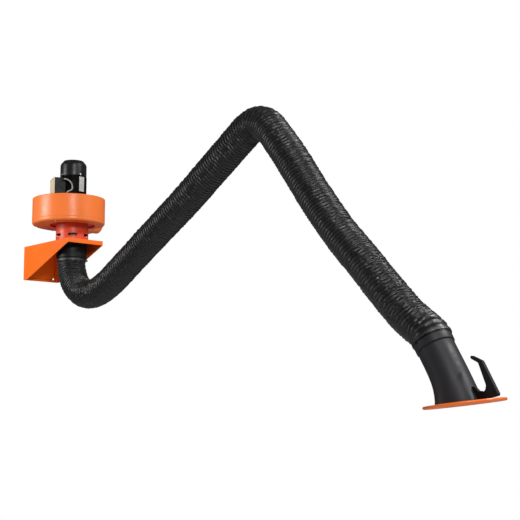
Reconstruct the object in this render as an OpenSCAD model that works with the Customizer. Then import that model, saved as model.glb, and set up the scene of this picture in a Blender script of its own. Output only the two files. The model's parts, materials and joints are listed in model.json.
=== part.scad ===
// Wall-mounted fume extraction arm: a bracket with a centrifugal fan on top and, hanging under it,
// a swivelling arm of two hose-covered links with a suction hood at its end.
// Millimetres. Origin: centre of the wall plate's back face. +Z up, +Y into the wall, X along it.
// The arm lies in the plane X = 0 and reaches out along -Y.

/* [Wall bracket] */
// Width of the bracket along the wall
bracket_w = 234; // [230:1:250]
// Reach from the wall to the front lip
bracket_d = 500; // [490:1:520]
// Height of the wall plate
bracket_h = 200; // [195:1:215]
// Distance from the wall to the swivel and fan axis
swivel_y = 350; // [345:1:360]
// Spacing of the wall holes along the wall
wall_hole_dx = 172; // [150:1:180]
// Spacing of the wall holes up the wall
wall_hole_dz = 160; // [140:1:164]
// Diameter of the wall holes
wall_hole_d = 11; // [9:0.5:13]

/* [Fan] */
// Height of the fan drum
drum_h = 155; // [150:1:170]
// Smallest radius of the spiral housing
scroll_r0 = 157; // [155:1:165]
// Growth of the spiral over one turn
scroll_growth = 90; // [80:1:92]
// Impeller radius
impeller_r = 138; // [120:1:140]
// Outside radius of the round outlet
outlet_r = 74.5; // [70:0.5:75]

/* [Motor] */
// Radius over the cooling fins
motor_r = 78; // [76:1:80]
// Length of the finned body
motor_len = 122; // [120:1:150]
// Length of the fan cowl
cowl_len = 91; // [88:1:100]

/* [Hose and arm] */
// Outside radius of the hose
hose_r = 82.5; // [82:0.5:84]
// Hose wall, with its wire
hose_wall = 4.5; // [4:0.5:4.5]
// Radius of the hose bend under the swivel
shoulder_bend_r = 210; // [205:1:215]
// Rise of the lower link above level
lower_rise = 28.5; // [25:0.5:32]
// Straight hose along the lower link
lower_run = 1316; // [1200:1:1400]
// Turn of the hose over the elbow
elbow_turn = 81.5; // [75:0.5:85]
// Length of the hose along the upper link
upper_run = 1264; // [1100:1:1300]
// Radius of the steel link tubes inside the hose
link_r = 16; // [14:0.5:17]

/* [Hood] */
// Slope of the hood's neck below level
hood_slope = 60.5; // [56:0.5:65]
// Lean of the hood's mouth away from level
mouth_lean = 5.6; // [4:0.1:9]
// Sideways tilt of the mouth
mouth_roll = 3.7; // [2:0.1:5]
// Outside radius of the rim
rim_r = 163.5; // [160:0.5:168]

/* [Hidden] */
$fn = 64;

sheet = 4;                              // bracket steel
lip = 25;                               // front lip of the bracket
gusset_foot = 40;                       // straight foot of each side plate, out from the wall
top_z = bracket_h / 2;                  // upper face of the bracket
duct_r = 76;                            // air opening through the bracket
drum_z = top_z + 98;                    // underside of the drum
drum_top = drum_z + drum_h;
base_z = drum_z + 24;                   // seam between the drum's base and its housing
skin = 2;                               // fan sheet metal
recess_r = 132;                         // dished middle of the drum's base
recess_h = 12;
scroll_steps = 60;
outlet_x = 240;                         // outlet face, from the fan axis
outlet_w = 152;
outlet_len = 42;                        // spigot, from the outlet face
flange_t = 12;                          // motor flange
motor_z = drum_top + flange_t;
cowl_z = motor_z + motor_len;
cowl_r = 76.5;
plate_dir = -82;                        // direction of the nameplate about the motor
box_dir = 160;                          // direction of the terminal box about the motor
box_z = drum_top + 22;
box_w = 108;
box_h = 95;
box_out = 119;                          // terminal box face, from the motor axis
shaft_r = 9.5;
run_gap = 0.05;                         // radial clearance of every turning fit
hose_in = hose_r - hose_wall;
spigot_r = hose_in - 0.5;               // spigots that the hose is clamped on
part_gap = 0.3;                         // air between pieces that move apart
pin_r = 8;
lug_x = 16;                             // half width of a pivot's middle lug
disc_x = 19.95;                         // outer face of its friction discs
fork_x = 20;                            // inner face of its fork cheeks
cheek = 6;

// Points in the arm plane are [distance out from the swivel axis, height].
function ahead(p, a, d) = [p[0] + d * cos(a), p[1] + d * sin(a)];
function heading(p, q) = atan2(q[1] - p[1], q[0] - p[0]);
hose_top = [0, 0];
bend_start = [0, -12];
bend_centre = [shoulder_bend_r, bend_start[1]];
run_r = 485;                            // easy curve from the bend into the lower link
run_centre = [shoulder_bend_r, bend_start[1] - shoulder_bend_r + run_r];
lower_start = ahead(run_centre, lower_rise - 90, run_r);
lower_end = ahead(lower_start, lower_rise, lower_run);
elbow_r = 135;
elbow_centre = ahead(lower_end, lower_rise - 90, elbow_r);
upper_dir = lower_rise - elbow_turn;
upper_start = ahead(elbow_centre, upper_dir + 90, elbow_r);
sag_r = 7100;                           // slack of the hose along the upper link
sag_centre = ahead(upper_start, upper_dir + 90, sag_r);
sag_turn = upper_run / sag_r * 180 / PI;
hose_end = ahead(sag_centre, upper_dir - 90 + sag_turn, sag_r);
end_dir = upper_dir + sag_turn;
free_run = 150;                         // loose hose each side of the elbow
free_turn = (free_run + 2.2) / sag_r * 180 / PI;     // clear of the straight stretch's square end
shoulder = ahead(bend_centre, 239, shoulder_bend_r);
knee = [300, -212];                     // where the lower link's lug meets its tube
elbow = ahead(elbow_centre, lower_rise + 90 - elbow_turn / 2, elbow_r);
wrist = ahead(hose_end, end_dir, 122);
lower_dir = heading(knee, elbow);
link_dir = heading(elbow, wrist);
neck = wrist + [37, -20];               // top of the hood's neck
neck_dir = -hood_slope;
neck_len = 150;
rim = wrist + [192, -268];
mouth_dir = mouth_lean - 90;
mouth = ahead(rim, mouth_lean + 180, 36);       // the rim sits off centre on the mouth
fork_len = 75;                          // pivot to the root of a fork
plug_len = 60;                          // part of a fork or lug inside its tube
plug_r = link_r - 3 - run_gap;

module in_plane() translate([0, -swivel_y, 0]) rotate([90, 0, -90]) children();
module facing(p) translate([p[0], p[1], 0]) rotate([0, 0, mouth_dir]) rotate([0, mouth_roll, 0])
    rotate([0, 90, 0]) children();
module along(p, a) translate([p[0], p[1], 0]) rotate([0, 0, a]) rotate([0, 90, 0]) children();
module across(p) translate([p[0], p[1], 0]) children();
module on_axis(z = 0) translate([0, -swivel_y, z]) children();
module ring(r1, r2, h) linear_extrude(h) difference() { circle(r2); circle(r1); }
module plate(points, t) linear_extrude(t, center = true) polygon(points);
module around(n, r, from = 0)
    for (i = [0:n - 1]) rotate([0, 0, from + i * 360 / n]) translate([r, 0, 0]) children();
module hose_run(p, a, len) along(p, a) ring(hose_in, hose_r, len);
module bend(c, r, from, turn) translate([c[0], c[1], 0]) rotate([0, 0, from])
    rotate_extrude(angle = turn, $fn = 96) translate([r, 0]) children();
module hose_arc(c, r, from, turn) bend(c, r, from, turn)
    difference() { circle(hose_r); circle(hose_in); }
module screw(head_r, head_h, shank_r, shank_h) {
    cylinder(r = head_r, h = head_h, $fn = 6);
    translate([0, 0, -shank_h]) cylinder(r = shank_r, h = shank_h + head_h / 2, $fn = 24);
}

// ---- bracket ----
module wall_bracket() color("darkorange") difference() {
    union() {
        translate([-bracket_w / 2, -sheet, -top_z]) cube([bracket_w, sheet, bracket_h]);
        translate([-bracket_w / 2, -bracket_d, top_z - sheet]) cube([bracket_w, bracket_d, sheet]);
        translate([-bracket_w / 2, -bracket_d, top_z - lip]) cube([bracket_w, sheet, lip]);
        for (side = [-1, 1]) translate([side * (bracket_w - sheet) / 2, 0, 0])
            rotate([90, 0, -90]) plate([[0, -top_z], [gusset_foot, -top_z],
                [bracket_d, top_z - lip], [bracket_d, top_z], [0, top_z]], sheet);
    }
    for (x = [-1, 1], z = [-1, 1])
        translate([x * wall_hole_dx / 2, 1, z * wall_hole_dz / 2])
            rotate([90, 0, 0]) cylinder(d = wall_hole_d, h = sheet + 2);
    on_axis(top_z - sheet - 1) cylinder(r = duct_r, h = sheet + 2);
    on_axis(top_z - sheet - 1) around(6, 86, 30) cylinder(r = 3.25, h = sheet + 2, $fn = 24);
}

// ---- fan inlet ----
module inlet_collar() color("orangered") on_axis(top_z) difference() {
    rotate_extrude() polygon([[78, 0], [90, 0], [94, 4], [94, 60], [93, 62], [93, 109], [91.2, 109],
        [91.2, 8], [78, 8]]);
    around(6, 86, 30) translate([0, 0, -1]) cylinder(r = 3.25, h = 10, $fn = 24);
    around(6, 88, 0) translate([0, 0, 34]) cube([20, 50, 15], center = true);
}
module inlet_sleeve() color("silver") on_axis(top_z) ring(75, 77.5, 109);
module collar_screws() color("dimgray") on_axis(top_z) around(6, 86, 30) {
    translate([0, 0, 8]) cylinder(r = 5, h = 5, $fn = 6);
    translate([0, 0, -sheet - 6]) cylinder(r = 3, h = sheet + 15, $fn = 24);
}
module swivel_nuts() color("dimgray") on_axis(top_z - sheet - 11) around(6, 86, 30) ring(3, 5, 5);

// ---- fan drum ----
scroll_max = scroll_r0 + scroll_growth;
tongue_dir = 30;                        // where the spiral starts, clockwise from above to 90
function scroll_r(a) = scroll_r0 + scroll_growth * (90 - a) / 360;
function scroll(inset) = [for (i = [0:scroll_steps])
    let (from = tongue_dir + 0.6 * inset, a = from - (from + 270) * i / scroll_steps)
        (scroll_r(a) - inset) * [cos(a), sin(a)]];
module scroll_outline(inset = 0) polygon(concat(scroll(inset),
    [[outlet_x, scroll_max - inset], [outlet_x, scroll_max - outlet_w + inset]]));
module fan_base() color("orangered") on_axis(drum_z) difference() {
    union() {
        translate([0, 0, 10]) linear_extrude(base_z - drum_z - 10) scroll_outline();
        linear_extrude(10.5, scale = 1 / 0.95) scale(0.95) scroll_outline();
        translate([170, scroll_max - outlet_w, 0]) cube([outlet_x - 170, outlet_w, 12]);
    }
    translate([0, 0, 12]) linear_extrude(13) scroll_outline(skin);
    translate([0, 0, skin]) linear_extrude(12) scroll_outline(14);
    translate([0, 0, -1]) cylinder(r = recess_r, h = 10);
    translate([0, 0, skin]) translate([150, scroll_max - outlet_w + skin, 0])
        cube([outlet_x, outlet_w - 2 * skin, 30]);
}
module fan_housing() color("darkorange") on_axis(base_z) difference() {
    linear_extrude(drum_top - base_z) scroll_outline();
    translate([0, 0, -1]) linear_extrude(drum_top - base_z - 2) scroll_outline(skin);
    translate([150, scroll_max - outlet_w + skin, -1])
        cube([outlet_x, outlet_w - 2 * skin, drum_top - base_z - 2]);
    translate([0, 0, 50]) cylinder(r = 30, h = 100);
    translate([0, 0, 50]) around(4, 90, 45) cylinder(r = 4.2, h = 100, $fn = 24);
    translate(gland_at - [0, -swivel_y, base_z]) cylinder(r = 6, h = 20, center = true, $fn = 24);
}
module inlet_cone() color("orangered") on_axis(drum_z) rotate_extrude() polygon([
    [recess_r - skin, 0], [recess_r - skin, recess_h - 1], [75, recess_h - 1], [75, recess_h + 1],
    [70, 44], [72, 44], [77, recess_h + 1], [recess_r, recess_h + 1], [recess_r, 2 * skin],
    [recess_r + 8, 2 * skin], [recess_r + 8, skin], [recess_r, skin], [recess_r, 0]]);
module housing_screws() color("silver") on_axis(drum_z)
    for (a = [10:-40:-270]) rotate([0, 0, a]) translate([0.95 * scroll_r(a) - 8, 0, -3])
            difference() { cylinder(r = 4.5, h = 3); cylinder(r = 2, h = 1.5, $fn = 6); }
module outlet_spigot() color("darkorange")
    on_axis(drum_z) translate([outlet_x, scroll_max - outlet_w / 2, drum_h / 2]) rotate([0, 90, 0]) {
        linear_extrude(skin) difference() {
            square([drum_h, outlet_w], center = true);
            circle(outlet_r - skin);
        }
        ring(outlet_r - skin, outlet_r, outlet_len);
    }

// ---- rotor ----
module blade() intersection() {
    translate([60, -95, 0]) ring(118, 120.5, 75);
    difference() {
        cylinder(r = impeller_r - 1, h = 75);
        translate([0, 0, -1]) cylinder(r = 78, h = 77);
    }
    cube([150, 150, 75]);
}
module impeller() color("silver") on_axis(drum_z + 48) {
    ring(72.5, impeller_r, 2);
    for (i = [0:8]) rotate([0, 0, i * 40]) translate([0, 0, 2]) blade();
    translate([0, 0, 77]) ring(shaft_r, impeller_r, 3);
    translate([0, 0, 50]) ring(shaft_r, 24, 27);
}
module impeller_nut() color("dimgray") on_axis(drum_z + 84) difference() {
    union() {
        translate([0, 0, 4]) cylinder(r = 20, h = 10 - 0.01);
        cylinder(r = 15, h = 4, $fn = 6);
    }
    translate([0, 0, -1]) cylinder(r = 6, h = 30);
}
module motor_shaft() color("lightgray") on_axis() {
    translate([0, 0, drum_z + 98]) cylinder(r = shaft_r, h = cowl_z + 46 - drum_z - 98);
    translate([0, 0, drum_z + 84]) cylinder(r = 6, h = 20);
}
module rotor_core() color("gray") on_axis(motor_z + 30) ring(shaft_r, 39.5, 75);
module cooling_fan() color("black") on_axis(cowl_z + 20) difference() {
    union() {
        cylinder(r = 15, h = 24);
        cylinder(r = 58, h = 2);
        for (i = [0:6]) rotate([0, 0, i * 360 / 7]) translate([12, -1, 1]) cube([43, 2, 21]);
    }
    translate([0, 0, -1]) cylinder(r = shaft_r, h = 26);
}

// ---- motor ----
module motor_flange() color("black") on_axis(drum_top) difference() {
    cylinder(r = 100, h = flange_t);
    translate([0, 0, -1]) cylinder(r = 20, h = flange_t + 2);
    translate([0, 0, -1]) around(4, 90, 45) cylinder(r = 4, h = flange_t + 2, $fn = 24);
}
module flange_bolts() color("silver") on_axis(motor_z) around(4, 90, 45)
    screw(6.5, 6, 4, flange_t + 10);
module lower_bearing() color("silver") on_axis(drum_top) ring(shaft_r + run_gap, 20, flange_t);
module upper_bearing() color("silver") on_axis(cowl_z) ring(shaft_r + run_gap, 17.5, 10);
module stator() color("chocolate") on_axis(motor_z + 25) ring(40, 60, 85);
module motor_body() color("black") on_axis(motor_z) difference() {
    union() {
        cylinder(r = motor_r - 10, h = motor_len);
        for (i = [0:35]) rotate([0, 0, i * 10 + 5]) translate([60, -1.2, 0])
            cube([motor_r - 60, 2.4, motor_len - 2]);
        ring(60, motor_r - 1, 8);
    }
    translate([0, 0, -1]) cylinder(r = 60, h = motor_len + 2);
    rotate([0, 0, plate_dir]) translate([motor_r - 4, -20, 22]) cube([10, 40, 98]);
}
module upper_shield() color("black") on_axis(cowl_z) difference() {
    cylinder(r = cowl_r - 3.2, h = 10);
    translate([0, 0, -1]) cylinder(r = 17.5, h = 12);
}
module motor_cowl() color("black") on_axis(cowl_z) difference() {
    rotate_extrude() polygon([[cowl_r - 3, 2], [cowl_r, 2], [cowl_r, 66], [cowl_r - 4, 76],
        [cowl_r - 19, cowl_len + 3], [0, cowl_len + 3], [0, cowl_len], [cowl_r - 20.5, cowl_len],
        [cowl_r - 6.5, 75], [cowl_r - 3, 66]]);
    for (i = [0:11]) rotate([0, 0, i * 30]) translate([18, -3, cowl_len - 2]) cube([30, 6, 8]);
    around(4, cowl_r - 2) translate([0, 0, 7]) rotate([0, 90, 0])
        cylinder(r = 2.5, h = 10, center = true, $fn = 24);
}
module cowl_screws() color("silver") on_axis(cowl_z) around(4, cowl_r - 3.2) translate([0, 0, 7])
    rotate([0, 90, 0]) {
        cylinder(r = 2.4, h = 4, $fn = 24);
        translate([0, 0, 3.2]) cylinder(r = 4.5, h = 2.5);
    }
module nameplate() color("silver") on_axis(motor_z) rotate([0, 0, plate_dir])
    translate([motor_r - 4, -18, 27]) cube([3, 36, 88]);

// ---- terminal box and lead ----
module at_box() on_axis(box_z) rotate([0, 0, box_dir]) children();
module at_box_gland() translate([66, box_w / 2, box_h - 12]) rotate([-90, 0, 0]) children();
module terminal_box() color("black") at_box() difference() {
    translate([50, -box_w / 2, 0]) cube([box_out - 50, box_w, box_h]);
    translate([0, 0, -1]) cylinder(r = motor_r + 0.2, h = box_h + 2);
    difference() {
        translate([50, -box_w / 2 + 3, 3]) cube([box_out, box_w - 6, box_h - 6]);
        translate([0, 0, -1]) cylinder(r = motor_r + 3, h = box_h + 2);
    }
    at_box_gland() cylinder(r = 6, h = 10, center = true, $fn = 24);
}
module terminal_lid() color("wheat") at_box() difference() {
    translate([box_out, -box_w / 2 - 1, -1]) cube([6, box_w + 2, box_h + 2]);
    for (y = [-1, 1], z = [-1, 1]) translate([box_out - 1, y * 44, box_h / 2 + z * 38])
        rotate([0, 90, 0]) cylinder(r = 2.2, h = 8, $fn = 24);
}
module lid_screws() color("silver") at_box() for (y = [-1, 1], z = [-1, 1])
    translate([box_out, y * 44, box_h / 2 + z * 38]) rotate([0, 90, 0]) {
        cylinder(r = 2.1, h = 7, $fn = 24);
        translate([0, 0, 6]) difference() {
            cylinder(r = 4.2, h = 2.4);
            translate([-5, -0.5, 1.4]) cube([10, 1, 2]);
        }
    }
gland_len = 20;
gland_at = [-87, -swivel_y - 72, drum_top];    // where the lead enters the drum
module gland() {
    ring(4.1, 8.5, 4);
    translate([0, 0, 4]) ring(4.1, 10, 8, $fn = 6);
    translate([0, 0, 12]) ring(4.1, 7, gland_len - 12);
    translate([0, 0, -5]) ring(4.1, 5.9, 5);
}
module cable_glands() color("dimgray") {
    at_box() at_box_gland() gland();
    translate(gland_at) gland();
}
lead_r = 4;
// Route of the lead from the terminal box down to the drum, from the motor axis
lead_route = [[-79, -24, 458], [-87.7, -48, 458], [-90, -57, 457], [-83, -70, 452], [-70, -77, 443],
    [-59, -78, 431], [-53, -77, 418], [-52, -77, 406], [-57, -79, 395], [-67, -80, 388],
    [-79, -78, 382], [-86, -73, 374], [-87, -72, 362], [-87, -72, 350]];
lead_side = [0, 0.8, -0.6];             // a direction that the lead never runs along
module tube(route, r, sides = 10) {
    n = len(route);
    function dir(i) = let (d = route[min(i + 1, n - 1)] - route[max(i - 1, 0)]) d / norm(d);
    function side(i) = let (c = cross(dir(i), lead_side)) c / norm(c);
    points = [for (i = [0:n - 1], k = [0:sides - 1])
        let (a = 360 * k / sides)
            route[i] + r * (cos(a) * side(i) + sin(a) * cross(dir(i), side(i)))];
    walls = [for (i = [0:n - 2], k = [0:sides - 1], half = [0, 1])
        let (a = i * sides + k, b = i * sides + (k + 1) % sides)
            half == 0 ? [a, b, b + sides] : [a, b + sides, a + sides]];
    ends = [[for (k = [sides - 1:-1:0]) k], [for (k = [0:sides - 1]) (n - 1) * sides + k]];
    polyhedron(points, concat(walls, ends));
}
function eased(p) = [for (i = [0:len(p) - 2], t = [0, 0.5])
    let (a = p[max(i - 1, 0)], b = p[i], c = p[i + 1], d = p[min(i + 2, len(p) - 1)])
        t == 0 ? b : (9 * (b + c) - a - d) / 16];
module motor_lead() color("lightgray") on_axis()
    tube(concat(eased(lead_route), [lead_route[len(lead_route) - 1]]), lead_r);

// ---- swivel ----
neck_out = 80;                          // outside radius of the fixed swivel neck
module swivel_flange() color("black") on_axis() difference() {
    rotate_extrude() polygon([[duct_r, top_z - sheet], [100, top_z - sheet], [100, top_z - sheet - 6],
        [neck_out, top_z - sheet - 6], [neck_out, 30], [neck_out - 1.5, 30], [neck_out - 1.5, 26],
        [neck_out, 26], [neck_out, 24], [duct_r, 24]]);
    translate([0, 0, top_z - 20]) around(6, 86, 30) cylinder(r = 3.25, h = 20, $fn = 24);
}
module swivel_retainer() color("dimgray") on_axis(26) ring(neck_out - 1.5, 83.4, 3.9);
module swivel_bush() color("ivory") on_axis(30) ring(neck_out + run_gap, 84, 48);
module swivel_collar() color("black") on_axis() rotate_extrude() polygon([[84, 84], [88, 84], [90, 80],
    [88, 76], [88, 6], [86, 2], [spigot_r, 2], [spigot_r, -16], [spigot_r - 2, -18], [spigot_r - 2, -40],
    [74, -40], [74, 6], [84, 6]]);
module hose_clamp(r) difference() {
    union() {
        cylinder(r = r + 2.5, h = 12);
        translate([r, -7, 0]) cube([10, 14, 12]);
    }
    translate([0, 0, -1]) cylinder(r = r, h = 14);
}
module hose_clamp_top() color("dimgray") on_axis(-14) rotate([0, 0, -30]) hose_clamp(hose_r + 0.02);

// ---- pivots shared by the three arm joints ----
module cheeks(points) for (side = [-1, 1]) translate([0, 0, side * (fork_x + cheek / 2)])
    linear_extrude(cheek, center = true) difference() {
        union() {
            polygon(points);
            circle(24);
        }
        circle(pin_r);
    }
module pivot_pin() {
    cylinder(r = pin_r, h = 2 * (fork_x + cheek) + 12, center = true);
    for (side = [-1, 1]) translate([0, 0, side * (fork_x + cheek + 4)])
        cylinder(r = 13, h = 8, center = true, $fn = 6);
}
module discs() for (side = [-1, 1]) translate([0, 0, side * (lug_x + disc_x) / 2])
    linear_extrude(disc_x - lug_x, center = true) difference() { circle(23); circle(pin_r + run_gap); }
module lug_barrel() linear_extrude(2 * lug_x, center = true) difference() {
    circle(20);
    circle(pin_r + run_gap);
}
module bored() difference() { children(); cylinder(r = pin_r + run_gap, h = 80, center = true); }
// Fork at the far end of a link: cheeks back from the pivot, a bridge, and a plug in the tube
module fork(p, a) across(p) rotate([0, 0, a]) {
    cheeks([[-fork_len, -18], [0, -20], [0, 20], [-fork_len, 18]]);
    translate([-fork_len - 5, 0, 0]) cube([10, 36, 2 * (fork_x + cheek)], center = true);
    translate([-fork_len - 9, 0, 0]) rotate([0, -90, 0]) cylinder(r = plug_r, h = plug_len);
}
module link_tube(p, a, len) along(p, a) ring(plug_r + run_gap, link_r, len);

// ---- swivel side of the shoulder ----
module shoulder_yoke() color("dimgray") {
    on_axis(-36) intersection() {
        cylinder(r = 74, h = 8);
        translate([-80, -22, 0]) cube([160, 44, 8]);
    }
    in_plane() across(shoulder) cheeks([[-shoulder[0] - 20, -28 - shoulder[1]],
        [-shoulder[0] + 20, -28 - shoulder[1]], [22, 6], [-16, -16]]);
}
module shoulder_pin() color("silver") in_plane() across(shoulder) pivot_pin();
module hose_shoulder() color([0.1, 0.1, 0.11]) in_plane() {
    hose_run(hose_top, -90, -bend_start[1]);
    hose_arc(bend_centre, shoulder_bend_r, 180, 90);
    hose_arc(run_centre, run_r, 270, lower_rise);
}

// ---- lower link ----
module lower_lug() color("dimgray") in_plane() {
    across(shoulder) bored() {
        lug_barrel();
        linear_extrude(12, center = true) polygon([[0, -18], knee - shoulder + [-6, -14],
            knee - shoulder + [-6, 10], [0, 18]]);
    }
    along(ahead(knee, lower_dir, -4), lower_dir) cylinder(r = plug_r, h = plug_len + 4);
    along(ahead(knee, lower_dir, -8), lower_dir) cylinder(r = link_r, h = 8);
}
module shoulder_discs() color("saddlebrown") in_plane() across(shoulder) discs();
tube_gap = fork_len + 10;
module lower_tube() color("silver") in_plane()
    link_tube(knee, lower_dir, norm(elbow - knee) - tube_gap);
module elbow_fork() color("dimgray") in_plane() fork(elbow, lower_dir);
module elbow_pin() color("silver") in_plane() across(elbow) pivot_pin();
module hose_lower() color([0.1, 0.1, 0.11]) in_plane()
    hose_run(lower_start, lower_rise, lower_run - free_run);
module elbow_shape(r, cut) {
    along(ahead(lower_end, lower_rise, -free_run - cut), lower_rise) cylinder(r = r, h = free_run + cut);
    bend(elbow_centre, elbow_r, upper_dir + 90, elbow_turn) circle(r);
    along(upper_start, upper_dir) cylinder(r = r, h = free_run + cut);
}
module hose_elbow() color([0.1, 0.1, 0.11]) in_plane() difference() {
    elbow_shape(hose_r, 0);
    elbow_shape(hose_in, 1);
}

// ---- upper link ----
lug_len = 70;                           // pivot to the start of the upper tube
module upper_lug() color("dimgray") in_plane() {
    across(elbow) bored() {
        lug_barrel();
        rotate([0, 0, link_dir]) translate([0, -12, -6]) cube([lug_len - 5, 24, 12]);
    }
    along(ahead(elbow, link_dir, lug_len - 8), link_dir) cylinder(r = link_r, h = 8);
    along(ahead(elbow, link_dir, lug_len - 4), link_dir) cylinder(r = plug_r, h = plug_len);
}
module elbow_discs() color("saddlebrown") in_plane() across(elbow) discs();
module upper_tube() color("silver") in_plane()
    link_tube(ahead(elbow, link_dir, lug_len), link_dir, norm(wrist - elbow) - lug_len - tube_gap);
module wrist_fork() color("dimgray") in_plane() fork(wrist, link_dir);
module wrist_pin() color("silver") in_plane() across(wrist) pivot_pin();
module hose_upper() color([0.1, 0.1, 0.11]) in_plane()
    hose_arc(sag_centre, sag_r, upper_dir - 90 + free_turn, sag_turn - free_turn);
// The hose over the wrist: two equal arcs, up and then down, and a straight cuff on the spigot
cuff_len = 36;
cuff = ahead(neck, neck_dir, -cuff_len);
rise_side = ahead([0, 0], end_dir + 90, 1);
fall_side = ahead([0, 0], neck_dir - 90, 1);
sides = fall_side - rise_side;
span = cuff - hose_end;
square = sides * sides - 4;
wrist_r = (-span * sides - sqrt(pow(span * sides, 2) - square * (span * span))) / square;
rise_centre = hose_end + wrist_r * rise_side;
fall_centre = cuff + wrist_r * fall_side;
fall_from = heading(fall_centre, rise_centre);
rise_turn = fall_from - end_dir - 90;
hair = 0.03;                            // degrees left open between the two arcs and the cuff
module hose_wrist() color([0.1, 0.1, 0.11]) in_plane() {
    hose_arc(rise_centre, wrist_r, end_dir - 90, rise_turn);
    hose_arc(fall_centre, wrist_r, neck_dir + 90 + hair, fall_from - neck_dir - 90 - 2 * hair);
    hose_run(cuff, neck_dir, cuff_len);
}

// ---- hood ----
swing_r = 70;                           // radius of the hood's turning fit
module hood_spider() color("black") in_plane() {
    along(neck, neck_dir) rotate_extrude() polygon([[74, -34], [spigot_r, -34], [spigot_r, 0],
        [82, 0], [82, 3], [swing_r, 3], [swing_r, 36], [73, 36], [73, 39], [66, 39], [66, 0], [74, 0]]);
    along(neck, neck_dir) translate([-6, -69, 4]) cube([12, 138, 12]);
    across(wrist) bored() {
        lug_barrel();
        linear_extrude(12, center = true) polygon([[-8, -14], [28, -42], [48, -26], [14, 12]]);
    }
}
module wrist_discs() color("saddlebrown") in_plane() across(wrist) discs();
module hose_clamp_hood() color("dimgray") in_plane() along(ahead(neck, neck_dir, -14), neck_dir)
    rotate([0, 0, 200]) hose_clamp(hose_r + part_gap);
module hood_collar() color("dimgray") in_plane() along(neck, neck_dir)
    translate([0, 0, 3.1]) rotate_extrude() polygon([[swing_r + run_gap, 0], [80, 0], [81, 1], [81, 31],
        [79, 32.8], [swing_r + run_gap, 32.8]]);
duct_out = 76.5;
mouth_out = 88;
module duct_shape(r_top, r_mouth, cut) {
    along(ahead(neck, neck_dir, 36 - cut), neck_dir) cylinder(r = r_top, h = neck_len - 36);
    hull() {
        along(ahead(neck, neck_dir, neck_len - 12), neck_dir) cylinder(r = r_top + 0.7, h = 4, $fn = 48);
        along(ahead(neck, neck_dir, neck_len + 30), neck_dir - 6) cylinder(r = r_top + 1, h = 1, $fn = 48);
        facing(mouth) translate([0, 0, -30]) cylinder(r = r_mouth - 5, h = 1, $fn = 48);
    }
    hull() {
        facing(mouth) translate([0, 0, -30]) cylinder(r = r_mouth - 5, h = 1, $fn = 48);
        facing(mouth) translate([0, 0, cut - 1]) cylinder(r = r_mouth, h = 1 + cut, $fn = 48);
    }
}
damper_d = 100;                         // damper pivot, down from the top of the neck
module hood_duct() color("dimgray") in_plane() difference() {
    duct_shape(duct_out, mouth_out, 0);
    duct_shape(duct_out - 3, mouth_out - 3, 0.5);
    across(ahead(neck, neck_dir, damper_d)) cylinder(r = 4 + run_gap, h = 200, center = true);
}
module hood_rim() color("darkorange") in_plane() difference() {
    facing(rim) rotate_extrude($fn = 96) polygon([[0, 0], [rim_r - 8, -2], [rim_r - 2, -1],
        [rim_r, 3], [rim_r - 1, 8], [rim_r - 5, 10], [rim_r - 12, 8], [rim_r - 20, 4], [0, 4]]);
    facing(mouth) translate([0, 0, -20]) cylinder(r = mouth_out - 3, h = 60);
    facing(mouth) translate([0, 0, -22]) cylinder(r = mouth_out + 0.1, h = 22 + 0.05);
}
handle_t = 16;
module hood_handle() color("black") in_plane() difference() {
    translate([rim[0], rim[1], 0]) linear_extrude(handle_t, center = true) difference() {
        polygon([[39, 171], [41, 178], [46, 178], [92, 158], [96, 153], [166, 32], [164, 24], [50, 0],
            [40, 60], [54, 60], [77, 40], [110, 58], [110, 66], [76, 149], [72, 152], [43, 166]]);
        translate([93, 56]) circle(16, $fn = 48);
    }
    duct_shape(duct_out + 0.1, mouth_out + 0.1, 0.5);
    facing(rim) translate([0, 0, -2.1]) cylinder(r = rim_r + 20, h = 60);
}
module damper() color("silver") in_plane() across(ahead(neck, neck_dir, damper_d)) {
    rotate([0, 0, neck_dir]) rotate([90, 0, 0]) cylinder(r = 70, h = 2, center = true);
    mirror([0, 0, 1]) {
        translate([0, 0, -duct_out]) cylinder(r = 4, h = 2 * duct_out + 10);
        translate([0, 0, duct_out + 10]) cylinder(r = 13, h = 10);
        translate([0, 0, duct_out + 12]) rotate([0, 0, neck_dir]) translate([-22, -4, 0])
            cube([44, 8, 12]);
    }
}

wall_bracket();
inlet_collar();
inlet_sleeve();
collar_screws();
fan_base();
fan_housing();
housing_screws();
inlet_cone();
outlet_spigot();
impeller();
impeller_nut();
motor_shaft();
rotor_core();
cooling_fan();
motor_flange();
flange_bolts();
lower_bearing();
stator();
motor_body();
upper_shield();
upper_bearing();
motor_cowl();
cowl_screws();
nameplate();
terminal_box();
terminal_lid();
lid_screws();
cable_glands();
motor_lead();
swivel_flange();
swivel_nuts();
swivel_retainer();
swivel_bush();
swivel_collar();
shoulder_yoke();
shoulder_pin();
hose_clamp_top();
hose_shoulder();
lower_lug();
shoulder_discs();
lower_tube();
elbow_fork();
elbow_pin();
hose_lower();
hose_elbow();
upper_lug();
elbow_discs();
upper_tube();
wrist_fork();
wrist_pin();
hose_upper();
hose_wrist();
hood_spider();
wrist_discs();
hose_clamp_hood();
hood_collar();
hood_duct();
hood_rim();
hood_handle();
damper();
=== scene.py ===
import json
import math
import bmesh
import bpy
import numpy as np
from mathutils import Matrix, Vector
from mathutils.geometry import tessellate_polygon


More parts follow.
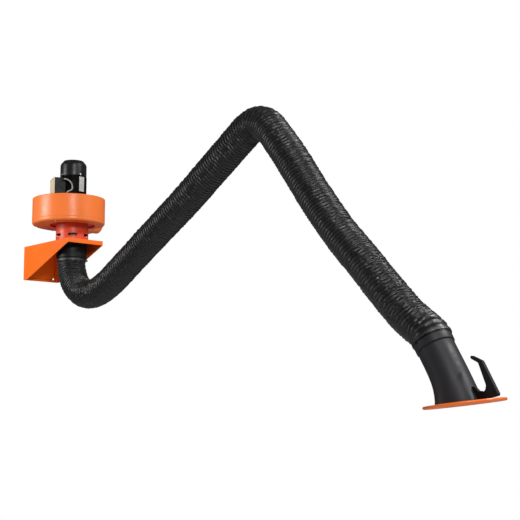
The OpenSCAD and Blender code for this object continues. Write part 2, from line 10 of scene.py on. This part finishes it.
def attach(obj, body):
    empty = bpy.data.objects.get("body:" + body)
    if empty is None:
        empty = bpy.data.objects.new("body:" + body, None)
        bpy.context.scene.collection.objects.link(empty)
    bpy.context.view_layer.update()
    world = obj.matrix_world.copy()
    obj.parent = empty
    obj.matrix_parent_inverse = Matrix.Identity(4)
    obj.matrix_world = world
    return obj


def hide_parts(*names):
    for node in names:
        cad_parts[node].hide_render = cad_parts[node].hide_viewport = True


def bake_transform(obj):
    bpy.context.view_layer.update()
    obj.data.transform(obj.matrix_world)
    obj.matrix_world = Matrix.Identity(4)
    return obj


# Looks of the wall-mounted extraction arm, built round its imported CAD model. Metres, the CAD's frame:
# origin on the wall plate's back, +Z up, +Y into the wall; the arm lies in the plane X = 0.
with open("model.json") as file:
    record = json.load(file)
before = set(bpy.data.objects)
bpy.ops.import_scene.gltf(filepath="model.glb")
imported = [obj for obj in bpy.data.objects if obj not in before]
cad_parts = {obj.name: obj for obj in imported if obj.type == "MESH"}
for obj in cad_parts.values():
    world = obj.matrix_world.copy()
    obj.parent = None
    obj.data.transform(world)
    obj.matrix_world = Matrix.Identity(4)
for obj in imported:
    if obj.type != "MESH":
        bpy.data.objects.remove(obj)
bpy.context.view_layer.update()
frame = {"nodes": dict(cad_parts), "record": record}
nodes = frame["nodes"]
scene = bpy.context.scene
MM = 0.001
AXIS_Y = -0.350                 # the fan's and the swivel's vertical axis


def arm(s, z, x=0.0):
    """The point s mm out from the swivel axis and z mm up, in the arm's plane or x mm beside it."""
    return Vector((x * MM, AXIS_Y - s * MM, z * MM))


def srgb(r, g, b):
    """A linear colour from 8-bit sRGB values."""
    def one(v):
        v /= 255
        return v / 12.92 if v <= 0.04045 else ((v + 0.055) / 1.055) ** 2.4
    return (one(r), one(g), one(b), 1.0)


# ---- camera ----
YAW, PITCH = math.radians(40.684), math.radians(7.794)
look = Vector((math.sin(YAW) * math.cos(PITCH), math.cos(YAW) * math.cos(PITCH), math.sin(PITCH)))
camera = bpy.data.objects.new("camera", bpy.data.cameras.new("camera"))
scene.collection.objects.link(camera)
camera.location = (-3.5232, -6.1367, -0.9198)
camera.rotation_euler = look.to_track_quat("-Z", "Y").to_euler()
camera.data.lens = 80
camera.data.sensor_width = 36
camera.data.clip_end = 200
scene.camera = camera
scene.view_settings.view_transform = "Standard"


# ---- materials ----
class Paint:
    """A material's node tree, with the few node set-ups that the materials share."""

    def __init__(self, name, roughness, metallic=0.0, specular=0.5):
        self.material = bpy.data.materials.new(name)
        self.material.use_nodes = True
        self.tree = self.material.node_tree
        self.shader = self.tree.nodes["Principled BSDF"]
        self.shader.inputs["Roughness"].default_value = roughness
        self.shader.inputs["Metallic"].default_value = metallic
        self.shader.inputs["Specular IOR Level"].default_value = specular
        self.place = self.tree.nodes.new("ShaderNodeTexCoord").outputs["Object"]
        self.normal = None

    def node(self, kind, **values):
        made = self.tree.nodes.new(kind)
        for name, value in values.items():
            setattr(made, name, value)
        return made

    def link(self, source, target):
        self.tree.links.new(source, target)

    def stretched(self, x, y, z):
        """The object's coordinates scaled along each axis."""
        mapping = self.node("ShaderNodeMapping")
        mapping.inputs["Scale"].default_value = (x, y, z)
        self.link(self.place, mapping.inputs["Vector"])
        return mapping.outputs["Vector"]

    def noise(self, scale, detail=3.0, place=None):
        made = self.node("ShaderNodeTexNoise")
        made.inputs["Scale"].default_value = scale
        made.inputs["Detail"].default_value = detail
        self.link(place or self.place, made.inputs["Vector"])
        return made.outputs["Fac"]

    def cells(self, scale):
        made = self.node("ShaderNodeTexVoronoi")
        made.inputs["Scale"].default_value = scale
        self.link(self.place, made.inputs["Vector"])
        return made.outputs["Color"]

    def ramp(self, factor, *stops):
        """A colour ramp over factor, from (position, colour) pairs."""
        made = self.node("ShaderNodeValToRGB")
        elements = made.color_ramp.elements
        while len(elements) < len(stops):
            elements.new(0.5)
        for element, (position, colour) in zip(elements, stops):
            element.position = position
            element.color = colour
        self.link(factor, made.inputs["Fac"])
        return made.outputs["Color"]

    def span(self, factor, low, high, start=0.3, end=0.7):
        """factor from start to end, mapped onto low to high."""
        made = self.node("ShaderNodeMapRange")
        for name, value in zip(("From Min", "From Max", "To Min", "To Max"), (start, end, low, high)):
            made.inputs[name].default_value = value
        self.link(factor, made.inputs["Value"])
        return made.outputs["Result"]

    def mix(self, factor, a, b):
        made = self.node("ShaderNodeMix", data_type="RGBA")
        for socket, value in zip((made.inputs[0], made.inputs[6], made.inputs[7]), (factor, a, b)):
            if isinstance(value, (float, tuple)):
                socket.default_value = value
            else:
                self.link(value, socket)
        return made.outputs[2]

    def colour(self, source):
        self.link(source, self.shader.inputs["Base Color"])

    def rough(self, source):
        self.link(source, self.shader.inputs["Roughness"])

    def bump(self, height, strength, depth):
        """Adds a bump of that depth in metres on top of those already there."""
        made = self.node("ShaderNodeBump")
        made.inputs["Strength"].default_value = strength
        made.inputs["Distance"].default_value = depth
        self.link(height, made.inputs["Height"])
        if self.normal:
            self.link(self.normal, made.inputs["Normal"])
        self.normal = made.outputs["Normal"]
        self.link(self.normal, self.shader.inputs["Normal"])


def shade(colour, factor):
    return tuple(c * factor for c in colour[:3]) + (1.0,)


def powder_coat(name, colour, roughness=0.38, deep=None):
    """Baked powder coat: a fine orange peel, a little uneven in tone, with dust on it."""
    paint = Paint(name, roughness, specular=0.3)
    tone = paint.ramp(paint.noise(5, 4), (0.35, deep or shade(colour, 0.92)), (0.65, colour))
    specks = paint.span(paint.noise(240, 2), 0.0, 0.10, 0.62, 0.75)
    paint.colour(paint.mix(specks, tone, (0.9, 0.82, 0.74, 1.0)))
    paint.rough(paint.span(paint.noise(14, 5), roughness - 0.06, roughness + 0.08))
    paint.bump(paint.noise(650, 2), 0.25, 0.0003)
    return paint.material


def cast_paint(name, colour, roughness=0.36):
    """Thick paint on cast metal, with its grain showing through."""
    paint = Paint(name, roughness, specular=0.14)
    paint.colour(paint.ramp(paint.noise(9, 5), (0.35, shade(colour, 0.7)), (0.7, shade(colour, 1.5))))
    paint.rough(paint.span(paint.noise(30, 4), roughness - 0.08, roughness + 0.14))
    paint.bump(paint.noise(330, 3), 0.45, 0.0006)
    return paint.material


def moulded(name, colour, roughness=0.45, flow=1.25):
    """Moulded plastic: fine grain, faint flow marks, worn patches."""
    paint = Paint(name, roughness, specular=0.25)
    marks = paint.noise(4, 5, paint.stretched(1, 1, 0.25))
    paint.colour(paint.ramp(marks, (0.3, shade(colour, 1 / flow)), (0.7, shade(colour, flow))))
    paint.rough(paint.span(paint.noise(22, 6), roughness - 0.08, roughness + 0.10))
    paint.bump(paint.noise(1400, 2), 0.3, 0.0002)
    paint.bump(paint.noise(35, 3), 0.12, 0.0008)
    return paint.material


def plated(name, colour, roughness=0.3, spangle=0.0):
    """Zinc or bare steel: cloudy reflections, with galvanised spangle where asked for."""
    paint = Paint(name, roughness, metallic=1.0)
    cloud = paint.ramp(paint.noise(60, 4), (0.3, shade(colour, 0.75)), (0.7, colour))
    if spangle:
        cloud = paint.mix(spangle, cloud, paint.cells(90))
    paint.colour(cloud)
    paint.rough(paint.span(paint.noise(120, 5), roughness - 0.1, roughness + 0.15))
    paint.bump(paint.noise(900, 2), 0.15, 0.0001)
    return paint.material


def brushed_plate(name, colour):
    """Rolled aluminium plate, brushed across and a little stained."""
    paint = Paint(name, 0.42, metallic=0.55)
    lines = paint.noise(40, 6, paint.stretched(4, 4, 60))
    stains = paint.ramp(paint.noise(95, 5), (0.38, shade(colour, 0.62)), (0.6, colour))
    paint.colour(paint.mix(paint.span(lines, 0.0, 0.5), stains, shade(colour, 1.2)))
    paint.bump(lines, 0.2, 0.0001)
    return paint.material


def coated_fabric(name):
    """Black coated cloth of the hose: a fine weave, black in its folds and grey on its ridges, partly from
    rub wear and partly as a painted highlight.
    """
    paint = Paint(name, 0.5, specular=0.35)
    ridge = paint.node("ShaderNodeAttribute", attribute_name="ridge").outputs["Fac"]
    dark, crest_wear_and_highlight = (0.0022, 0.0021, 0.0020, 1.0), (0.030, 0.029, 0.028, 1.0)
    # the crests are painted lighter than the folds: partly rub wear, partly a painted highlight on the ribs
    crests_rubbed_and_lit = paint.mix(paint.span(ridge, 0.0, 1.0, 0.55, 1.0), dark, crest_wear_and_highlight)
    dust = paint.span(paint.noise(55, 6), 0.0, 0.3, 0.5, 0.75)
    paint.colour(paint.mix(dust, crests_rubbed_and_lit, (0.006, 0.0058, 0.0055, 1.0)))
    paint.rough(paint.span(paint.noise(70, 5), 0.32, 0.5))
    weave = paint.node("ShaderNodeTexWave", wave_type="BANDS", bands_direction="DIAGONAL")
    weave.inputs["Scale"].default_value = 260
    paint.link(paint.place, weave.inputs["Vector"])
    paint.bump(weave.outputs["Fac"], 0.12, 0.0003)
    paint.bump(paint.noise(120, 3), 0.2, 0.0005)
    paint.shader.inputs["Sheen Weight"].default_value = 0.06
    return paint.material


MATERIALS = {
    "orange_paint": powder_coat("orange_paint", srgb(246, 108, 4), 0.46),
    "fan_paint": powder_coat("fan_paint", srgb(238, 120, 52), 0.36),
    "inlet_paint": powder_coat("inlet_paint", srgb(216, 74, 44), 0.42),
    "rim_paint": powder_coat("rim_paint", srgb(236, 112, 38), 0.28),
    "black_paint": powder_coat("black_paint", srgb(20, 20, 21), 0.34),
    "motor_black": cast_paint("motor_black", (0.0010, 0.0010, 0.0010, 1.0), 0.58),
    "zinc_steel": plated("zinc_steel", (0.62, 0.62, 0.64, 1.0)),
    "dark_steel": plated("dark_steel", (0.07, 0.07, 0.075, 1.0), 0.5),
    "galvanised": plated("galvanised", (0.66, 0.67, 0.69, 1.0), 0.38, spangle=0.25),
    "impeller_metal": plated("impeller_metal", (0.72, 0.72, 0.73, 1.0), 0.4, spangle=0.15),
    "copper": plated("copper", (0.75, 0.36, 0.2, 1.0), 0.35),
    "nameplate_metal": brushed_plate("nameplate_metal", srgb(190, 190, 188)),
    "black_plastic": moulded("black_plastic", (0.0018, 0.0018, 0.0018, 1.0), 0.5),
    "lid_beige": moulded("lid_beige", srgb(214, 196, 166), 0.5, flow=1.06),
    "hood_grey": moulded("hood_grey", (0.017, 0.0168, 0.020, 1.0), 0.5),
    "collar_grey": moulded("collar_grey", (0.016, 0.016, 0.018, 1.0), 0.5),
    "bush_plastic": moulded("bush_plastic", srgb(222, 218, 205), 0.45, flow=1.06),
    "friction_lining": moulded("friction_lining", srgb(104, 74, 52), 0.8, flow=1.3),
    "lead_grey": moulded("lead_grey", srgb(150, 146, 146), 0.5, flow=1.1),
    "hose_fabric": coated_fabric("hose_fabric"),
}
for part in frame["record"]["subparts"]:
    cad_mesh = nodes[part["node"]].data
    cad_mesh.materials.clear()
    cad_mesh.materials.append(MATERIALS[part["material_slot"]])


# ---- meshes ----
def piece(name, points, faces, slot, body=None, smooth=True):
    """A new object with that mesh and finish, riding on a body if one is named."""
    mesh = bpy.data.meshes.new(name)
    mesh.from_pydata([tuple(p) for p in points], [], faces)
    mesh.validate()
    mesh.polygons.foreach_set("use_smooth", [smooth] * len(mesh.polygons))
    mesh.materials.append(MATERIALS[slot])
    made = bpy.data.objects.new(name, mesh)
    scene.collection.objects.link(made)
    if body:
        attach(made, body)
    return made


def ring_faces(rings, around, closed=False):
    """Faces between consecutive rings of points, and from the last ring to the first if closed."""
    faces = []
    for i in range(rings if closed else rings - 1):
        a, b = i * around, (i + 1) % rings * around
        for k in range(around):
            n = (k + 1) % around
            faces.append((a + k, a + n, b + n, b + k))
    return faces


EDGE_SEGMENTS, EDGE_ANGLE = 2, 35      # an edge is broken where its faces turn by more than this
WELD_GAP = 0.00002


def rounded_edges(node, width):
    """Breaks the sharp edges of a CAD node by width mm, as a folded, cast or moulded part has them."""
    thing = nodes[node]
    weld = thing.modifiers.new("weld", "WELD")
    weld.merge_threshold = WELD_GAP
    bevel = thing.modifiers.new("edges", "BEVEL")
    bevel.width = width * MM
    bevel.segments = EDGE_SEGMENTS
    bevel.limit_method = "ANGLE"
    bevel.angle_limit = math.radians(EDGE_ANGLE)
    thing.modifiers.new("normals", "WEIGHTED_NORMAL")


def grid_noise(rows, columns, seed):
    """Smooth random values from -1 to 1 over (row, column) positions; the columns wrap round."""
    table = np.random.default_rng(seed).uniform(-1, 1, (rows + 2, columns))

    def value(row, column):
        r0, c0 = np.floor(row).astype(int), np.floor(column).astype(int)
        fr, fc = row - r0, column - c0
        fr, fc = fr * fr * (3 - 2 * fr), fc * fc * (3 - 2 * fc)
        r0 = np.clip(r0, 0, rows)
        c0, c1 = c0 % columns, (c0 + 1) % columns
        low = table[r0, c0] * (1 - fc) + table[r0, c1] * fc
        high = table[r0 + 1, c0] * (1 - fc) + table[r0 + 1, c1] * fc
        return low * (1 - fr) + high * fr
    return value


CURVE_STEPS = 40                # points worked out between two given ones


def through(points, step):
    """A smooth curve (Catmull-Rom) through 2-D or 3-D points, as points about step apart."""
    p = np.array(points, float)
    p = np.vstack([2 * p[0] - p[1], p, 2 * p[-1] - p[-2]])
    curve = []
    for a, b, c, d in zip(p[:-3], p[1:-2], p[2:-1], p[3:]):
        knots = np.cumsum([0] + [np.linalg.norm(v - u) ** 0.5 for u, v in ((a, b), (b, c), (c, d))])
        t = np.linspace(knots[1], knots[2], CURVE_STEPS, endpoint=False)[:, None]
        ab = (knots[1] - t) / knots[1] * a + t / knots[1] * b
        bc = (knots[2] - t) / (knots[2] - knots[1]) * b + (t - knots[1]) / (knots[2] - knots[1]) * c
        cd = (knots[3] - t) / (knots[3] - knots[2]) * c + (t - knots[2]) / (knots[3] - knots[2]) * d
        abc = (knots[2] - t) / knots[2] * ab + t / knots[2] * bc
        bcd = (knots[3] - t) / (knots[3] - knots[1]) * bc + (t - knots[1]) / (knots[3] - knots[1]) * cd
        part = (t - knots[1]) / (knots[2] - knots[1])
        curve.append((knots[2] - t) / (knots[2] - knots[1]) * abc + part * bcd)
    curve = np.vstack(curve + [p[-2][None]])
    run = np.concatenate([[0], np.cumsum(np.linalg.norm(np.diff(curve, axis=0), axis=1))])
    even = np.linspace(0, run[-1], max(2, int(round(run[-1] / step)) + 1))
    return np.stack([np.interp(even, run, curve[:, k]) for k in range(curve.shape[1])], axis=1)


# ---- motor lead ----
LEAD_R, LEAD_STEP = 4.0, 0.004
LEAD_ROUTE = [(-79, -24, 458), (-87.7, -48, 458), (-90, -57, 457), (-83, -70, 452), (-70, -77, 443),
              (-59, -78, 431), (-53, -77, 418), (-52, -77, 406), (-57, -79, 395), (-67, -80, 388),
              (-79, -78, 382), (-86, -73, 374), (-87, -72, 362), (-87, -72, 350)]
lead_line = through([(x * MM, AXIS_Y + y * MM, z * MM) for x, y, z in LEAD_ROUTE], LEAD_STEP)
lead_curve = bpy.data.curves.new("motor_lead_sheath", "CURVE")
lead_curve.dimensions = "3D"
lead_curve.bevel_depth = LEAD_R * MM
lead_curve.bevel_resolution = 5
lead_curve.use_fill_caps = True
lead_spline = lead_curve.splines.new("POLY")
lead_spline.points.add(len(lead_line) - 1)
for point, place in zip(lead_spline.points, lead_line):
    point.co = (*place, 1.0)
lead = bpy.data.objects.new("motor_lead_sheath", lead_curve)
lead_curve.materials.append(MATERIALS["lead_grey"])
scene.collection.objects.link(lead)
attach(lead, "bracket")
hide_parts("motor_lead")


# ---- hose ----
# One ribbed hose from the swivel to the hood. It is cut in the middle of each link into three
# pieces, each one over one joint.
HOSE_ROUTE = [(0, -1), (1, -35), (11, -82), (37, -134), (86, -181), (165, -216), (259, -220), (340, -199),
              (430, -163), (521, -117), (760, 9), (1004, 135), (1220, 253), (1425, 370), (1538, 436),
              (1606, 471), (1673, 487), (1739, 464), (1796, 410), (1853, 344), (1919, 264), (2067, 71),
              (2219, -108), (2386, -277), (2538, -433), (2617, -506), (2690, -560), (2722, -583),
              (2743, -612)]
PITCH_MM = 18.0                 # one turn of the hose's wire
RINGS = 9                       # rings of points to each turn
AROUND = 96
CREST_R, FOLD = 84.0, 7.0       # outside radius on a crest, and the depth of a fold
CREST_SHARP = 1.3               # above 1 the crests are narrower than the hollows
CUFF_R = 82.0                   # the plain ends under the clamps
CUFF_TOP, CUFF_HOOD, CUFF_FADE = 16, 18, 12
INNER_R = 72.5
HOSE_STEP = PITCH_MM / RINGS
SMOOTHINGS = 12                 # passes that even out the hose's direction
route = through(HOSE_ROUTE, HOSE_STEP)
hose_t = np.concatenate([[0], np.cumsum(np.linalg.norm(np.diff(route, axis=0), axis=1))])
HOSE_LEN = hose_t[-1]
tangent = np.gradient(route, axis=0)
for _ in range(SMOOTHINGS):
    tangent[1:-1] = (tangent[:-2] + 2 * tangent[1:-1] + tangent[2:]) / 4
tangent /= np.linalg.norm(tangent, axis=1)[:, None]
across_line = np.stack([-tangent[:, 1], tangent[:, 0]], axis=1)     # towards the upper side


def hose_radius(t, angle):
    """Outside radius in mm at t mm along the hose, and how near the point is to a rib's crest."""
    turns = int(HOSE_LEN / PITCH_MM) + 2
    column = angle / (2 * math.pi)
    crinkle = grid_noise(turns, 26, 11)(t / PITCH_MM, column * 26)
    break_up = grid_noise(turns, 44, 12)(t / PITCH_MM, column * 44)
    fine = grid_noise(turns * 2, 60, 13)(2 * t / PITCH_MM, column * 60)
    broad = grid_noise(turns // 6 + 2, 5, 14)(t / PITCH_MM / 6, column * 5)
    loose = (0.35 + 1.2 * np.exp(-((t - 330) / 190) ** 2)               # slack at the shoulder
             + 0.9 * np.exp(-((t - HOSE_LEN + 260) / 240) ** 2))        # and above the hood
    phase = t / PITCH_MM - column + (0.07 + 0.12 * loose) * crinkle
    crest = (0.5 + 0.5 * np.cos(2 * math.pi * phase)) ** CREST_SHARP
    depth = FOLD * (0.72 + 0.28 * break_up)
    cuff = np.clip(np.minimum(t - CUFF_TOP, HOSE_LEN - CUFF_HOOD - t) / CUFF_FADE, 0, 1)
    folds = CREST_R - FOLD + depth * crest + (0.6 + 1.5 * loose) * fine * (1 - 0.5 * crest) + 1.0 * broad
    return folds * cuff + CUFF_R * (1 - cuff), crest * (0.75 + 0.25 * break_up) * cuff


def hose_piece(name, t_from, t_to, body_a, body_b, start, end, *stands_for):
    """The stretch of hose between two lengths along it, as one fixed mesh; the two bodies named are not
    used.
    """
    rows = np.flatnonzero((hose_t >= t_from - 0.01) & (hose_t <= t_to + 0.01))
    angle = 2 * math.pi * np.arange(AROUND) / AROUND
    t, a = np.meshgrid(hose_t[rows], angle, indexing="ij")
    outer, ridge = hose_radius(t, a)
    inner_rows = np.unique(np.concatenate([rows[::RINGS], rows[-1:]]))[::-1]
    inner = np.full((len(inner_rows), AROUND), INNER_R)

    def rings(indexes, radii):
        centre, up = route[indexes][:, None, :], across_line[indexes][:, None, :]
        flat = centre + (radii * np.cos(angle))[:, :, None] * up
        side = radii * np.sin(angle)
        return np.stack([side * MM, AXIS_Y - flat[:, :, 0] * MM, flat[:, :, 1] * MM], axis=2).reshape(-1, 3)
    points = np.vstack([rings(rows, outer), rings(inner_rows, inner)])
    made = piece(name, points, ring_faces(len(rows) + len(inner_rows), AROUND, closed=True), "hose_fabric")
    # how near each point is to a rib's crest; the hose's material paints the crests lighter, partly as rub
    # wear and partly as a painted highlight
    shown = made.data.attributes.new("ridge", "FLOAT", "POINT")
    shown.data.foreach_set("value", np.concatenate([ridge.ravel(), np.zeros(inner.size)]).astype(np.float32))
    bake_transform(made)
    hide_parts(*stands_for)
    return made


def along_hose(s, z):
    """Length along the hose of the fold nearest to a point of the arm's plane."""
    near = hose_t[np.argmin(np.hypot(route[:, 0] - s, route[:, 1] - z))]
    return (round(near / PITCH_MM - 0.5) + 0.5) * PITCH_MM


lower_cut, upper_cut = along_hose(1004, 135), along_hose(2219, -108)
hose_piece("hose_lower_cover", 0, lower_cut, "swivel", "lower_arm", arm(10, -60), arm(330, -215),
           "hose_shoulder", "hose_lower")
hose_piece("hose_elbow_cover", lower_cut, upper_cut, "lower_arm", "upper_arm", arm(1560, 430),
           arm(1800, 430), "hose_elbow")
hose_piece("hose_upper_cover", upper_cut, HOSE_LEN, "upper_arm", "wrist", arm(2600, -490),
           arm(2735, -600), "hose_upper", "hose_wrist")


# ---- fan drum ----
SCROLL_R0, SCROLL_GROWTH, TONGUE = 157.0, 90.0, 30.0
OUTLET_X, OUTLET_W = 240.0, 152.0
SCROLL_MAX = SCROLL_R0 + SCROLL_GROWTH
DRUM_Z, SEAM_Z, DRUM_TOP = 198.0, 222.0, 353.0
SKIN = 2.0
SCROLL_STEPS, OUTLET_STEPS, MOUTH_STEPS = 120, 8, 6     # points along the spiral and the outlet's sides
TOOL_SIDES = 128
RECESS_R, GLAND_R, SHAFT_R = 132.2, 6, 30               # holes cut in the drum
GLAND_AT = (-87, -72)


def scroll_line(inset):
    """The drum's outline from above, inset mm inside it, as points from the fan's axis."""
    line = []
    start = TONGUE + 0.6 * inset
    for i in range(SCROLL_STEPS + 1):
        a = start - (start + 270) * i / SCROLL_STEPS
        r = SCROLL_R0 + SCROLL_GROWTH * (90 - a) / 360 - inset
        line.append((r * math.cos(math.radians(a)), r * math.sin(math.radians(a))))
    near, far = SCROLL_MAX - OUTLET_W + inset, SCROLL_MAX - inset
    line += [(OUTLET_X * k / OUTLET_STEPS, far) for k in range(1, OUTLET_STEPS + 1)]
    line += [(OUTLET_X, far + (near - far) * k / MOUTH_STEPS) for k in range(1, MOUTH_STEPS + 1)]
    tongue_x, tongue_y = line[0]
    line += [(OUTLET_X + (tongue_x - OUTLET_X) * k / MOUTH_STEPS, near + (tongue_y - near) * k / MOUTH_STEPS)
             for k in range(1, MOUTH_STEPS)]
    return line


def stacked(name, levels, body, slot):
    """A closed body from the drum's outline at each (inset, height) level."""
    loops = [scroll_line(inset) for inset, _ in levels]
    count = len(loops[0])
    points = [(x * MM, AXIS_Y + y * MM, z * MM)
              for loop, (_, z) in zip(loops, levels) for x, y in loop]
    faces = ring_faces(len(levels), count)
    for level, flip in ((0, True), (len(levels) - 1, False)):
        flat = [[Vector((x, y, 0)) for x, y in loops[level]]]
        for triangle in tessellate_polygon(flat):
            corners = tuple(level * count + i for i in triangle)
            faces.append(corners if flip else corners[::-1])
    made = piece(name, points, faces, slot, body)
    work = bmesh.new()
    work.from_mesh(made.data)
    bmesh.ops.recalc_face_normals(work, faces=work.faces)
    work.to_mesh(made.data)
    work.free()
    return made


def disc_tool(name, x, y, z0, z1, r):
    """A plain round cutter, in mm from the fan's axis; cut() removes it."""
    mesh = bpy.data.meshes.new(name)
    work = bmesh.new()
    bmesh.ops.create_cone(work, cap_ends=True, segments=TOOL_SIDES, radius1=r * MM, radius2=r * MM,
                          depth=(z1 - z0) * MM)
    bmesh.ops.translate(work, verts=work.verts, vec=(x * MM, AXIS_Y + y * MM, (z0 + z1) / 2 * MM))
    work.to_mesh(mesh)
    work.free()
    made = bpy.data.objects.new(name, mesh)
    scene.collection.objects.link(made)
    return made


def cut(thing, *tools):
    """Cuts the tools out of thing and removes them."""
    for tool in tools:
        step = thing.modifiers.new("cut", "BOOLEAN")
        step.operation = "DIFFERENCE"
        step.solver = "EXACT"
        step.object = tool
    bpy.context.view_layer.update()
    result = bpy.data.meshes.new_from_object(thing.evaluated_get(bpy.context.evaluated_depsgraph_get()))
    thing.modifiers.clear()
    thing.data = result
    for tool in tools:
        bpy.data.objects.remove(tool)


def quarter(z_edge, z_side, radius, steps):
    """Levels of a rounded edge from the flat at z_edge to the side at z_side."""
    return [(radius * (1 - math.sin(math.pi / 2 * k / steps)),
             z_edge + (z_side - z_edge) * (1 - math.cos(math.pi / 2 * k / steps))) for k in range(steps + 1)]


drum = stacked("drum_shell",
               quarter(DRUM_Z, DRUM_Z + 13, 12, 8)
               + [(0, SEAM_Z - 1.5), (0.8, SEAM_Z - 1), (0.8, SEAM_Z), (-0.6, SEAM_Z + 0.4),
                  (-0.6, SEAM_Z + 5), (0, SEAM_Z + 5.6)]
               + quarter(DRUM_TOP, DRUM_TOP - 5, 5, 5)[::-1], "bracket", "fan_paint")
hollow = stacked("drum_hollow", [(SKIN, DRUM_Z + SKIN + 10), (SKIN, DRUM_TOP - SKIN)], None, "fan_paint")
cut(drum, hollow, disc_tool("recess", 0, 0, DRUM_Z - 5, DRUM_Z + SKIN + 20, RECESS_R),
    disc_tool("gland_hole", *GLAND_AT, DRUM_TOP - 10, DRUM_TOP + 10, GLAND_R),
    disc_tool("shaft_hole", 0, 0, DRUM_TOP - 10, DRUM_TOP + 10, SHAFT_R))
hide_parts("fan_base", "fan_housing")
drum.modifiers.new("normals", "WEIGHTED_NORMAL")


# ---- hood ----
NECK, NECK_DIR = (2743.0, -612.2), -60.5
MOUTH, MOUTH_DIR, MOUTH_ROLL = (2862.2, -863.7), -84.4, 3.7
DUCT_R, MOUTH_R, DUCT_WALL = 76.5, 88.0, 3.0
FLARE = 22.0                    # extra width of the mouth on the handle's side
NECK_LEN = 36


def heading(angle):
    return np.array([math.cos(math.radians(angle)), math.sin(math.radians(angle))])


def duct_rings(rings, around, inset):
    """Rings down the hood's duct, which swells and turns from its neck into its mouth."""
    top = np.array(NECK) + NECK_LEN * heading(NECK_DIR)
    mouth = np.array(MOUTH)
    reach = np.linalg.norm(mouth - top)
    points = []
    for i in range(rings):
        u = i / (rings - 1)
        h00, h10 = 2 * u**3 - 3 * u**2 + 1, u**3 - 2 * u**2 + u
        h01, h11 = -2 * u**3 + 3 * u**2, u**3 - u**2
        centre = (h00 * top + h10 * reach * heading(NECK_DIR)
                  + h01 * mouth + h11 * reach * heading(MOUTH_DIR))
        ease = u * u * (3 - 2 * u)
        direction = NECK_DIR + (MOUTH_DIR - NECK_DIR) * ease
        upper, roll = heading(direction + 90), math.radians(MOUTH_ROLL * ease)
        for k in range(around):
            a = 2 * math.pi * k / around
            swell = DUCT_R + (MOUTH_R - DUCT_R) * u**2.6 + FLARE * u**5 * max(0, math.cos(a)) ** 2 - inset
            tip = math.cos(a) * upper - math.sin(a) * math.sin(roll) * heading(direction)
            s, z = centre + swell * tip
            points.append(arm(s, z, swell * math.sin(a) * math.cos(roll)))
    return points


DUCT_RINGS, DUCT_AROUND = 40, 96
duct_inside = duct_rings(DUCT_RINGS, DUCT_AROUND, DUCT_WALL)
duct_points = duct_rings(DUCT_RINGS, DUCT_AROUND, 0)
for ring in range(DUCT_RINGS - 1, -1, -1):
    duct_points += duct_inside[ring * DUCT_AROUND:(ring + 1) * DUCT_AROUND]
duct_faces = ring_faces(2 * DUCT_RINGS, DUCT_AROUND, closed=True)
duct = piece("hood_shell", duct_points, duct_faces, "hood_grey", "hood")
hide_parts("hood_duct")

# ---- edges of the CAD pieces ----
for name, width in {"wall_bracket": 1.2, "inlet_collar": 1.0, "motor_flange": 2.0, "motor_cowl": 2.0,
                    "terminal_box": 3.0, "terminal_lid": 1.5, "nameplate": 0.6, "hood_rim": 1.0,
                    "hood_handle": 4.0, "swivel_collar": 1.0, "swivel_flange": 0.8, "hood_collar": 1.2,
                    "hose_clamp_top": 0.5, "hose_clamp_hood": 0.5, "damper": 0.6, "outlet_spigot": 0.5,
                    "cable_glands": 0.4, "flange_bolts": 0.5, "cowl_screws": 0.4, "housing_screws": 0.4,
                    "collar_screws": 0.4}.items():
    rounded_edges(name, width)

# ---- floor, backdrop and light ----
FLOOR_Z = -2.8                  # below the rim at shoulder_tilt's lower limit
FLOOR_HALF = 6
floor_corners = [(x * FLOOR_HALF, y * FLOOR_HALF, FLOOR_Z) for x, y in ((-1, -1), (1, -1), (1, 1), (-1, 1))]
floor_mesh = bpy.data.meshes.new("floor")
floor_mesh.from_pydata(floor_corners, [], [(0, 1, 2, 3)])
floor = bpy.data.objects.new("floor", floor_mesh)
scene.collection.objects.link(floor)
floor_paint = Paint("floor", 0.9, specular=0.1)
floor_paint.colour(floor_paint.ramp(floor_paint.noise(0.6, 4),
                                    (0.3, (0.86, 0.86, 0.86, 1)), (0.7, (0.9, 0.9, 0.89, 1))))
floor_mesh.materials.append(floor_paint.material)

WORLD_LIT, WORLD_SEEN = 0.12, 1.0      # the backdrop's strength on the object and to the camera
world = bpy.data.worlds.new("studio")
scene.world = world
world.use_nodes = True
sky = world.node_tree
background = sky.nodes["Background"]
background.inputs["Color"].default_value = (1.0, 1.0, 1.0, 1.0)
dim = sky.nodes.new("ShaderNodeMapRange")
dim.inputs["To Min"].default_value = WORLD_LIT
dim.inputs["To Max"].default_value = WORLD_SEEN
sky.links.new(sky.nodes.new("ShaderNodeLightPath").outputs["Is Camera Ray"], dim.inputs["Value"])
sky.links.new(dim.outputs["Result"], background.inputs["Strength"])

CENTRE = Vector((0.0, -1.7, -0.1))
RIGHT = Vector((math.cos(YAW), -math.sin(YAW), 0.0))
FORWARD = Vector((math.sin(YAW), math.cos(YAW), 0.0))
UP = Vector((0.0, 0.0, 1.0))
FAN = Vector((0.0, AXIS_Y, 0.2))


def softbox(name, right, forward, up, size, power, aim=CENTRE):
    """A square area light at that place as seen from the camera, aimed at the object."""
    light = bpy.data.lights.new(name, "AREA")
    light.shape = "SQUARE"
    light.size = size
    light.energy = power
    made = bpy.data.objects.new(name, light)
    scene.collection.objects.link(made)
    made.location = CENTRE + RIGHT * right + FORWARD * forward + UP * up
    made.rotation_euler = (Vector(aim) - made.location).to_track_quat("-Z", "Y").to_euler()


softbox("key", 1.2, -5.4, 1.8, 0.9, 200)
softbox("side", 4.6, -1.4, 3.8, 1.0, 300)
softbox("fill", -2.7, 0.3, 0.6, 0.7, 34, FAN)
